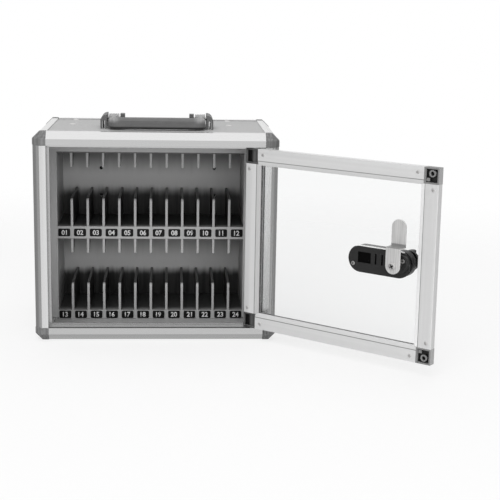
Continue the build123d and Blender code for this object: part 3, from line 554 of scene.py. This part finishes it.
def runs_along(axis):
    """A rule for edges that run along one axis."""
    def rule(edge):
        line = (edge.verts[1].co - edge.verts[0].co).normalized()
        return abs(line[axis]) > 0.999
    return rule


def faces_towards(direction):
    """A rule for faces whose normal is close to a direction."""
    return lambda face: face.normal.dot(Vector(direction)) > 0.99


def ends(axis):
    """A rule for the faces square to one axis."""
    return lambda face: abs(face.normal[axis]) > 0.99


def ease(piece, kind, rule, width, steps):
    """Bevel what a rule accepts, by a width in millimetres."""
    return edit(piece, kind, rule, bpy.ops.mesh.bevel, offset=width * MM, segments=steps,
                affect="EDGES")


def settle(piece, name):
    """Name a piece and put its place in its mesh, with its object at the origin."""
    only(piece)
    bpy.ops.object.transform_apply(location=True, rotation=True, scale=True)
    piece.name = name
    piece.data.name = name
    return piece


def modify(piece, kind, **settings):
    """Add a modifier and apply it."""
    only(piece)
    made = piece.modifiers.new(kind.title(), kind)
    for key, value in settings.items():
        setattr(made, key, value)
    bpy.ops.object.modifier_apply(modifier=made.name)
    return piece


def smooth(piece, angle=32):
    """Shade a piece smooth, apart from edges sharper than an angle."""
    only(piece)
    bpy.ops.object.shade_smooth_by_angle(angle=radians(angle))
    return piece


def dress(piece, body, finish):
    """Give a piece its body and its finish."""
    finish.on(piece)
    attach(piece, body)
    return piece


def repeat(piece, name, matrix):
    """A copy with its own mesh, put in place inside that mesh."""
    made = bpy.data.objects.new(name, piece.data.copy())
    bpy.context.scene.collection.objects.link(made)
    made.data.name = name
    made.data.transform(matrix)
    made.data.update()
    return made


def join(piece, other):
    """Make two pieces one, under the first one's name."""
    only(other)
    piece.select_set(True)
    bpy.context.view_layer.objects.active = piece
    bpy.ops.object.join()
    return piece


def put_away(*pieces):
    """Remove the patterns that copies were taken from."""
    for piece in pieces:
        bpy.data.objects.remove(piece)


def block(name, low, high):
    """A box between two corners in millimetres."""
    bpy.ops.object.select_all(action="DESELECT")
    low, high = Vector(low), Vector(high)
    bpy.ops.mesh.primitive_cube_add(size=1, location=(low + high) / 2 * MM, scale=(high - low) * MM)
    return settle(bpy.context.active_object, name)


def disc(name, radius, low, high, sides=32):
    """An upright cylinder about the Z axis, in millimetres."""
    bpy.ops.object.select_all(action="DESELECT")
    bpy.ops.mesh.primitive_cylinder_add(vertices=sides, radius=radius * MM, depth=(high - low) * MM,
                                        location=(0, 0, (low + high) / 2 * MM))
    return settle(bpy.context.active_object, name)


print("edit helpers ready")

# %% [markdown]
# Nothing real has a perfectly sharp edge: a rail is drawn through a die, a sheet is folded and a
# moulding has a radius. A thin bright line along each edge tells the eye so. A copy of the solid is
# merged, its flat triangles are joined into whole faces, and a small bevel is cut on every edge that
# turns by more than thirty degrees. The solid itself stays as it is, hidden, for the physics.

# %% Soften the solids
def softened(node, width, body, finish, steps=2):
    """A finished copy of a solid, with its edges bevelled by a width in millimetres."""
    piece = repeat(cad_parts[node], node + "_finished", Matrix.Identity(4))
    edit(piece, "VERT", everything, bpy.ops.mesh.remove_doubles, threshold=0.005 * MM)
    edit(piece, "FACE", everything, bpy.ops.mesh.dissolve_limited, angle_limit=radians(0.3))
    if width:
        modify(piece, "BEVEL", width=width * MM, segments=steps, limit_method="ANGLE",
               angle_limit=radians(30), use_clamp_overlap=True, miter_outer="MITER_ARC")
    smooth(piece)
    modify(piece, "WEIGHTED_NORMAL", weight=100, keep_sharp=True)
    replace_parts(piece, node)
    return dress(piece, body, finish)


for level in ("bottom", "top"):
    for place in ("front", "rear"):
        sill_or_rail = sill_aluminium if (place, level) == ("front", "bottom") else case_aluminium["x"]
        softened(f"{place}_rail_{level}", 0.3, "case", sill_or_rail)
    for hand in ("left", "right"):
        softened(f"side_rail_{level}_{hand}", 0.3, "case", case_aluminium["y"])
for place in ("front", "rear"):
    for hand in ("left", "right"):
        softened(f"{place}_rail_{hand}", 0.3, "case", case_aluminium["z"])
for place in ("front", "rear"):
    softened(f"{place}_corner_caps", 1.0, "case", cap_plastic, 3)
for row in ("lower", "upper"):
    softened(f"{row}_shelf", 0.5, "case", shelf_enamel_shaded)
    softened(f"{row}_dividers", 0.4, "case", divider_enamel_shaded)
    softened(f"{row}_guide_tabs", 0.4, "case", divider_enamel_shaded)
for name in ("rack_flange", "rack_side_walls"):
    softened(name, 0.3, "case", rack_enamel)
softened("handle_brackets", 0.6, "case", handle_plastic, 3)
for name in ("door_stile_hinge", "door_stile_lock"):
    softened(name, 0.3, "door", door_aluminium["up"])
for name in ("door_rail_top", "door_rail_bottom"):
    softened(name, 0.3, "door", door_aluminium["across"])
softened("door_hinge_corners", 0.35, "door", hinge_plastic)
softened("door_lock_corners", 0.35, "door", corner_plastic)
softened("pane_gasket", 0.12, "door", gasket_rubber)
softened("lock_back_plate", 0.0, "door", plate_plastic)
softened("lock_body", 0.25, "door", lock_shell)
softened("lock_cam", 0.45, "latch", cam_steel)
softened("lock_spindle", 0.4, "latch", screw_steel)
softened("lock_knob", 0.9, "latch", lock_plastic, 3)

# %% [markdown]
# The solids that stay as they are only need a finish: the panels, the pane, the sheets deep in the
# rack, the bushes and the pins. Their edges are covered, or too small to see.

# %% Finish the plain solids
sides = ("top", "bottom", "left", "right", "back")
plain = {
    "panel_sheet": (panel_board, [side + "_panel" for side in sides]),
    "rack_enamel": (back_enamel, ["rack_back_plate", "rack_ceiling", "rack_roof"]),
    "bush_plastic": (bush_plastic, ["pivot_bushes"]),
    "plated_steel": (screw_steel, ["handle_pins", "door_pivot_pins", "lock_wheel_axle"]),
    "clear_acrylic": (clear_acrylic, ["door_pane"]),
}
for slot, (finish, names) in plain.items():
    for name in names:
        finish.on(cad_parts[name])
print("plain solids finished:", sum(len(names) for finish, names in plain.values()))

# %% [markdown]
# Screws come next. A pan head is a short disc with a rounded rim and a cross cut into it. The cross
# could be drawn in the material, but a cut catches light from any side, so two thin blocks
# are taken away with a Boolean modifier. One head is modelled for each size and then copied. The
# crosses on the lock are so narrow that no light gets in, and thin black bars lie in them.

# %% Cross-recess screw heads
def screw_head(name, radius, height, shank, length, cross=0.58, arm_share=0.13):
    """A pan head on a stem. The cross's reach and width are shares of the head's radius."""
    head = disc(name, radius, 0, height)
    ease(head, "EDGE", lambda e: all(v.co.z > height * MM * 0.9 for v in e.verts), height * 0.55, 4)
    arm = radius * cross
    half = radius * arm_share
    for number, (x, y) in enumerate(((arm, half), (half, arm))):
        cutter = block(f"{name}_cross_{number}", (-x, -y, height * 0.35), (x, y, height * 2))
        modify(head, "BOOLEAN", operation="DIFFERENCE", object=cutter, solver="EXACT")
        put_away(cutter)
    return smooth(join(head, disc(name + "_stem", shank, -length, height * 0.2, 16)), 30)


def facing(direction):
    """Turn +Z to point along a direction."""
    return Vector(direction).to_track_quat("Z", "Y").to_matrix().to_4x4()


def mirrored_places(places, middle):
    """Each place, its mirror image left and right, and both again above the middle."""
    wide = [(side * x, z) for x, z in places for side in (1, -1)]
    return wide + [(x, 2 * middle - z) for x, z in wide]


def recess_shade(name, arm, half, level, matrix, body):
    """Dark bars in a cross recess, where no light reaches."""
    for number, (x, y) in enumerate(((arm, half), (half, arm))):
        bar = block(f"{name}_shade_{number + 1}", (-x, -y, level - 0.1), (x, y, level + 0.15))
        ease(bar, "EDGE", runs_along(2), half * 0.5, 2)
        bar.data.transform(matrix)
        dress(bar, body, lock_plastic)


INWARDS = facing((0, 1, 0))
ASKEW = Matrix.Rotation(0.5, 4, "Z")
DOOR_SCREWS = [(113.3, 26.3), (134.5, 46.0)]
PLATE_SCREWS = [(-28.5, -92.0, 130.5), (-101.3, -87.0, 143.6)]
CAM_SCREW = (-96.3, -70.5, DOOR_MIDDLE)
HANDLE_X = 58.2
BRACKET_TOP = 280.05
small_head = screw_head("small_head", 2.1, 0.8, 1.2, 5.9)
for number, (x, z) in enumerate(mirrored_places(DOOR_SCREWS, DOOR_MIDDLE)):
    turn = Matrix.Rotation(radians(17 + 23 * number), 4, "Z")
    screw = repeat(small_head, f"door_screw_{number + 1:02d}",
                   OPEN_DOOR @ at(x, DOOR_INNER, z) @ INWARDS @ turn)
    dress(screw, "door", bright_screw)
    if number == 0:
        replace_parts(screw, "door_screws")
plate_head = screw_head("plate_head", 2.6, 0.8, 1.2, 4.3)
for number, (x, y, z) in enumerate(PLATE_SCREWS):
    spot = OPEN_DOOR @ at(x, y, z) @ INWARDS @ ASKEW
    screw = repeat(plate_head, f"lock_plate_screw_{number + 1:02d}", spot)
    dress(screw, "door", screw_steel)
    recess_shade(screw.name, 1.45, 0.45, 0.5, spot, "door")
    if number == 0:
        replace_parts(screw, "lock_plate_screws")
cam_head = screw_head("cam_head", 4.6, 2.4, 1.2, 5.9, 0.62, 0.17)
spot = OPEN_DOOR @ at(*CAM_SCREW) @ INWARDS @ ASKEW
screw = repeat(cam_head, "lock_cam_screw_head", spot)
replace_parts(dress(screw, "latch", bright_screw), "lock_cam_screw")
recess_shade(screw.name, 3.2, 0.9, 1.1, spot, "latch")
bracket_head = screw_head("bracket_head", 2.8, 1.2, 1.6, 4.5)
for number, (x, y) in enumerate((x, y) for y in (-30, 0) for x in (-HANDLE_X, HANDLE_X)):
    screw = repeat(bracket_head, f"handle_screw_{number + 1:02d}",
                   at(x, y, BRACKET_TOP) @ Matrix.Rotation(0.7 * number, 4, "Z"))
    dress(screw, "case", screw_steel)
    if number == 0:
        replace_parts(screw, "handle_bracket_screws")
put_away(small_head, plate_head, cam_head, bracket_head)

# %% [markdown]
# Four blind rivets hold the rack under the top panel. Each is a low dome with a small dimple where
# the mandrel broke off. The dome starts as a sphere cut flat, and the dimple is the top ring of
# faces pushed in.

# %% Blind rivets
def rivet_head(name, radius, height):
    """A domed head with a dimple on top, its underside at z = 0."""
    bpy.ops.object.select_all(action="DESELECT")
    bpy.ops.mesh.primitive_uv_sphere_add(segments=32, ring_count=16, radius=radius * MM)
    head = settle(bpy.context.active_object, name)
    edit(head, "VERT", everything, bpy.ops.mesh.bisect, plane_co=(0, 0, 0), plane_no=(0, 0, 1),
         clear_inner=True, use_fill=True)
    edit(head, "VERT", everything, bpy.ops.transform.resize, value=(1, 1, height / radius),
         center_override=(0, 0, 0))
    edit(head, "VERT", lambda v: v.co.z > 0 and v.co.to_2d().length < radius * 0.36 * MM,
         bpy.ops.transform.translate, value=(0, 0, -height * 0.45 * MM))
    return smooth(head, 40)


PANEL_TOP = 277.05
rivet = rivet_head("rivet_head", 4.0, 1.4)
for number, (x, y) in enumerate((x, y) for x in (-116.75, 99.35) for y in (16.0, 77.0)):
    made = dress(repeat(rivet, f"rack_rivet_{number + 1:02d}", at(x, y, PANEL_TOP)), "case",
                 rivet_metal)
    if number == 0:
        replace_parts(made, "rack_rivets")
put_away(rivet)
print("rivets set: 4")

# %% [markdown]
# Each slot has a small black plate with its number. A plate is a thin block whose four upright
# corners are bevelled round and whose front rim is eased. The numbers are text objects, which are
# curves: they are converted to meshes before they are scaled and placed, so that the shape and its
# place are both in the mesh.

# %% Slot number plates
SLOT_PITCH = 21.8
FIRST_SLOT = -128.6
SLOTS_IN_A_ROW = 12
ROW_HEIGHTS = (128.85, 11.43)
RACK_FRONT = -5.0
PLATE_THICKNESS = 0.6
plate = block("slot_plate", (-8.3, -PLATE_THICKNESS, -5.4), (8.3, 0.0, 5.4))
ease(plate, "EDGE", runs_along(1), 1.9, 6)
ease(plate, "FACE", faces_towards(FORWARDS), 0.18, 2)
smooth(plate)


def number_mesh(text, name, stretch, height, thickness):
    """A printed number, centred, facing -Y, with its back at y = 0. Stretch is width against height."""
    bpy.ops.object.select_all(action="DESELECT")
    bpy.ops.object.text_add()
    piece = bpy.context.active_object
    piece.data.body = text
    piece.data.offset = 0.03
    piece.data.resolution_u = 6
    bpy.ops.object.convert(target="MESH")
    piece = bpy.context.active_object
    xs = [v.co.x for v in piece.data.vertices]
    ys = [v.co.y for v in piece.data.vertices]
    piece.data.transform(Matrix.Translation((-(min(xs) + max(xs)) / 2, -(min(ys) + max(ys)) / 2, 0)))
    tall = height * MM / (max(ys) - min(ys))
    upright = Matrix.Rotation(pi / 2, 4, "X")
    piece.data.transform(upright @ Matrix.Diagonal((tall * stretch, tall, 1, 1)))
    settle(piece, name)
    edit(piece, "FACE", everything, bpy.ops.mesh.extrude_region_move,
         TRANSFORM_OT_translate={"value": (0, -thickness * MM, 0)})
    edit(piece, "FACE", everything, bpy.ops.mesh.normals_make_consistent, inside=False)
    return piece


for number in range(1, 2 * SLOTS_IN_A_ROW + 1):
    row, column = divmod(number - 1, SLOTS_IN_A_ROW)
    x = FIRST_SLOT + SLOT_PITCH * column
    z = ROW_HEIGHTS[row]
    made = repeat(plate, f"slot_plate_{number:02d}", at(x, RACK_FRONT, z))
    dress(made, "case", label_plastic)
    if number == 1:
        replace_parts(made, "number_plates")
    digits = number_mesh(f"{number:02d}", f"slot_number_{number:02d}", 0.95, 7.1, 0.1)
    digits.data.transform(at(x, RACK_FRONT - PLATE_THICKNESS, z))
    dress(digits, "case", white_print)
put_away(plate)
print("slots numbered: 24")

# %% [markdown]
# The three code wheels stand through slots in the outside of the lock. A thumb turns them by the
# notches on their rims, and the rim carries a figure between each two notches. One wheel is a disc
# of sixty sides, with a notch pressed into every sixth of them and its edges bevelled. It is copied
# along the axle.

# %% Code wheels
def code_wheel(name, radius, width):
    """A wheel about X, with a notch between each two of its ten figures."""
    wheel = disc(name, radius, -width / 2, width / 2, 60)
    wheel.data.transform(Matrix.Rotation(pi / 2, 4, "Y"))

    def notch(face):
        middle = face.calc_center_median()
        if abs(face.normal.x) > 0.5:
            return False
        from_top = (Vector((middle.y, middle.z)).angle_signed(Vector((-1, 0))) % (pi / 5)) / (pi / 5)
        return 0.40 < from_top < 0.60
    edit(wheel, "FACE", notch, bpy.ops.mesh.inset, thickness=0.10 * MM, depth=-0.5 * MM)
    edit(wheel, "FACE", lambda f: abs(f.normal.x) > 0.9 and f.calc_area() > 1e-4, bpy.ops.mesh.inset,
         thickness=1.8 * MM, depth=-0.4 * MM)
    modify(wheel, "BEVEL", width=0.2 * MM, segments=2, limit_method="ANGLE", angle_limit=radians(50))
    return smooth(wheel, 35)


AXLE_Y = -105.5
WHEEL_RADIUS = 7.3
WHEEL_PLACES = {"right": -51.6, "middle": -60.6, "left": -69.6}
wheel = code_wheel("code_wheel", WHEEL_RADIUS, 6.4)
for place, x in WHEEL_PLACES.items():
    body = "wheel_" + place
    spot = OPEN_DOOR @ at(x, AXLE_Y, DOOR_MIDDLE)
    made = repeat(wheel, f"code_wheel_{place}", spot)
    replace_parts(dress(made, body, wheel_plastic), "lock_wheel_" + place)
    for figure in range(10):
        mark = number_mesh(str(figure), f"code_figure_{place}_{figure}", 0.9, 2.5, 0.06)
        turn = Matrix.Rotation(figure * pi / 5, 4, "X")
        mark.data.transform(spot @ turn @ at(0, 0.03 - WHEEL_RADIUS, 0))
        dress(mark, body, white_print)
put_away(wheel)
print("code wheels set: 3")

# %% [markdown]
# The grip is a moulded bow: a bar whose two front corners are swept round towards the arms. It starts
# as a block. The front corners get a wide bevel, the rims above and below a smaller one, and three
# shallow grooves run all round the front. A groove is made by cutting the skin at two heights with
# bisect and insetting the strip between them, pushed in.

# %% Carry grip
def groove(piece, axis, low, high, depth, rule):
    """Cut the skin at two places along an axis and press in the strip between them."""
    normal = Vector([1.0 if i == axis else 0.0 for i in range(3)])
    for place in (low, high):
        edit(piece, "FACE", everything, bpy.ops.mesh.bisect, plane_co=normal * place * MM,
             plane_no=normal)
    middle = (low + high) / 2 * MM
    reach = abs(high - low) / 2 * MM * 0.9

    def in_strip(face):
        spot = face.calc_center_median()
        return abs(spot[axis] - middle) < reach and abs(face.normal[axis]) < 0.3 and rule(spot)
    return edit(piece, "FACE", in_strip, bpy.ops.mesh.inset, thickness=0.08 * MM, depth=-depth * MM)


grip = block("carry_grip", (-64.5, -57.5, 278.6), (64.5, -42.5, 293.3))
ease(grip, "EDGE", lambda e: runs_along(2)(e) and e.verts[0].co.y < -50 * MM, 13.0, 10)
ease(grip, "FACE", ends(2), 3.9, 6)
for height in (284.6, 286.6, 288.6):
    groove(grip, 2, height, height + 0.5, 0.35, lambda spot: spot.y < -43 * MM)
smooth(grip, 35)
dress(grip, "handle", grip_plastic)
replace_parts(grip, "handle_bail")
for number, x in enumerate((-HANDLE_X, HANDLE_X)):
    arm = block(f"carry_arm_{number + 1}", (x - 4.2, -50.0, 285.55), (x + 4.2, -25.0, 293.05))
    ease(arm, "EDGE", runs_along(1), 2.4, 5)
    smooth(arm)
    dress(arm, "handle", grip_plastic)
print("grip", [round(v / MM, 1) for v in grip.dimensions], "mm")

# %% [markdown]
# The pale hubs at the handle's ends are ribbed, like a coil of rings on the pin. A hub is a cylinder
# cut by the same groove helper, five times across its width, with a square neck behind the grip's arm.

# %% Handle hubs
hub = disc("hub_pattern", 6.0, -6.8, 6.8, 40)
hub.data.transform(Matrix.Rotation(pi / 2, 4, "Y"))
ease(hub, "FACE", ends(0), 0.8, 3)
for x in (-5.4, -3.2, -1.0, 1.2, 3.4):
    groove(hub, 0, x, x + 1.1, 0.7, everything)
neck = block("hub_neck", (-4.5, -11.0, -4.0), (4.5, 0.0, 3.5))
ease(neck, "EDGE", runs_along(1), 1.2, 3)
smooth(join(hub, neck), 35)
for number, x in enumerate((-HANDLE_X, HANDLE_X)):
    made = repeat(hub, f"handle_hub_{number + 1}", at(x, -14.0, 289.55))
    dress(made, "handle", hub_plastic)
    if number == 0:
        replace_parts(made, "handle_hubs")
put_away(hub)
print("hubs set: 2")

# %% [markdown]
# The four holes for wall screws look dark, with shade behind them, and a small black disc in each is
# that painted shade. A disc is thin, with an eased rim, a little below the back panel's face.

# %% Dark discs in the wall holes, as painted shade
HOLE_X = 82.5
HOLE_HEIGHTS = (165.9, 205.9)
# A black disc put in each hole as painted shade.
plug = disc("hole_shade_pattern", 2.45, -1.2, 0.0, 24)
ease(plug, "FACE", ends(2), 0.3, 2)
smooth(plug)
for number, (x, z) in enumerate((x, z) for x in (-HOLE_X, HOLE_X) for z in HOLE_HEIGHTS):
    made = repeat(plug, f"wall_hole_plug_{number + 1}", at(x, 100.6, z) @ INWARDS)
    dress(made, "case", lock_plastic)
put_away(plug)
print("hole_shades set: 4")

# %% [markdown]
# The floor is plain and pale. Its far part fades out, so that the white background meets it without
# a horizon, and near the box it keeps the shadow. Seen by the camera, straight or through the pane,
# part of it glows white, as paper lit from all round would. Metal does not mirror it.

# %% Floor
bpy.ops.object.select_all(action="DESELECT")
bpy.ops.mesh.primitive_plane_add(size=6.0)
floor = bpy.context.active_object
floor.name = "floor"
paper = Finish("floor_paper", grey(0.93), 0.8)
glow = paper.node("Emission", {}, {"Color": (1, 1, 1, 1), "Strength": 1.0})
clear = paper.node("BsdfTransparent")
light_path = paper.node("LightPath")
bounced = paper.clamp(Level(paper, light_path.outputs["Glossy Depth"]))
through = Level(paper, light_path.outputs["Is Transmission Ray"])
seen = paper.clamp(Level(paper, light_path.outputs["Is Camera Ray"]) + through * (1 - bounced))
paper.set(Base_Color=paper.blend(through * bounced, grey(0.93), grey(0.60)))
lit = paper.node("MixShader", {}, {0: seen * 0.72, 1: paper.shader.outputs[0], 2: glow.outputs[0]})
reach = paper.node("VectorMath", {"operation": "LENGTH"}, {0: paper.where()})
far = paper.band(Level(paper, reach.outputs["Value"]), 0.45, 1.3)
faded = paper.node("MixShader", {}, {0: far, 1: lit.outputs[0], 2: clear.outputs[0]})
paper.plug(paper.tree.nodes["Material Output"].inputs["Surface"], faded.outputs[0])
paper.on(floor)
floor.visible_glossy = False
print("floor laid")

# %% [markdown]
# The studio is white in front, behind and above, with darker sides and a grey floor, as a room with
# open wings is. The camera sees plain white, straight or through the pane. Bright metal then shows
# dark edges where it turns to the sides or down, which is what makes it read as metal. A ray that
# has bounced off metal and then goes through the pane still counts as mirrored.

# %% Studio surroundings
world = bpy.data.worlds.new("studio")
bpy.context.scene.world = world
world.use_nodes = True
room = Finish("studio", tree=world.node_tree)
backdrop = world.node_tree.nodes["Background"]
path = room.node("LightPath")
split = room.node("SeparateXYZ", {}, {0: room.node("TexCoord").outputs["Generated"]})
wing = room.band(abs(Level(room, split.outputs["X"])), 0.70, 0.97)
through = Level(room, path.outputs["Is Transmission Ray"])
bounced = room.clamp(Level(room, path.outputs["Glossy Depth"]))
scattered = room.clamp(Level(room, path.outputs["Diffuse Depth"]))
mirrored = room.clamp(Level(room, path.outputs["Is Glossy Ray"]) + through * bounced)
plainly = room.clamp(Level(room, path.outputs["Is Camera Ray"])
                     + through * (1 - bounced) * (1 - scattered))
ambient = 0.50
below = room.band(Level(room, split.outputs["Z"]) * -1, 0.15, 0.85)
around = ambient + mirrored * ((0.92 - wing * 0.54) * (1 - below * 0.5) - ambient)
backdrop.inputs["Color"].default_value = (1, 1, 1, 1)
room.plug(backdrop.inputs["Strength"], plainly + (1 - plainly) * around)
print("surroundings ready")

# %% [markdown]
# Three big soft lamps do the rest: one in front and high, a weak one low in front that reaches into
# the slots, and one above. Big lamps give soft shadows. Metal shows the surroundings and not the
# lamps, so that no rail burns out to plain white.

# %% Lamps
def soft_lamp(name, place, target, size, watts):
    """A square lamp at a place, aimed at a target. Neither metal nor the pane shows it."""
    bpy.ops.object.select_all(action="DESELECT")
    bpy.ops.object.light_add(type="AREA", location=place)
    lamp = bpy.context.active_object
    lamp.name = name
    lamp.data.shape = "SQUARE"
    lamp.data.size = size
    lamp.data.energy = watts
    lamp.visible_glossy = False
    lamp.visible_transmission = False
    aim = Vector(target) - Vector(place)
    lamp.rotation_euler = aim.to_track_quat("-Z", "Y").to_euler()


soft_lamp("front_lamp", (-0.5, -2.3, 2.3), (0.05, -0.1, 0.12), 2.0, 42)
soft_lamp("low_lamp", (0.3, -2.6, 0.5), (0.0, -0.1, 0.14), 1.6, 14)
soft_lamp("top_lamp", (0.1, 0.2, 2.2), (0.1, -0.05, 0.1), 2.0, 10)

# %% [markdown]
# A long lens keeps the box's edges nearly parallel. The camera stands well back, a little
# above the box, and leans by a degree.

# %% Camera
bpy.ops.object.camera_add(location=(0.017807, -1.647638, 0.447317))
camera = bpy.context.active_object
camera.data.lens = 86.04
camera.data.sensor_width = 36.0
swing = Matrix.Rotation(radians(-3.92), 4, "Z")
tilt = Matrix.Rotation(radians(90 - 11.75), 4, "X")
lean = Matrix.Rotation(radians(1.02), 4, "Z")
camera.rotation_euler = (swing @ tilt @ lean).to_euler()
bpy.context.scene.camera = camera
bpy.context.scene.view_settings.view_transform = "Standard"
print("camera at", tuple(round(v, 3) for v in camera.location))

# %% Finish
print("scene built")
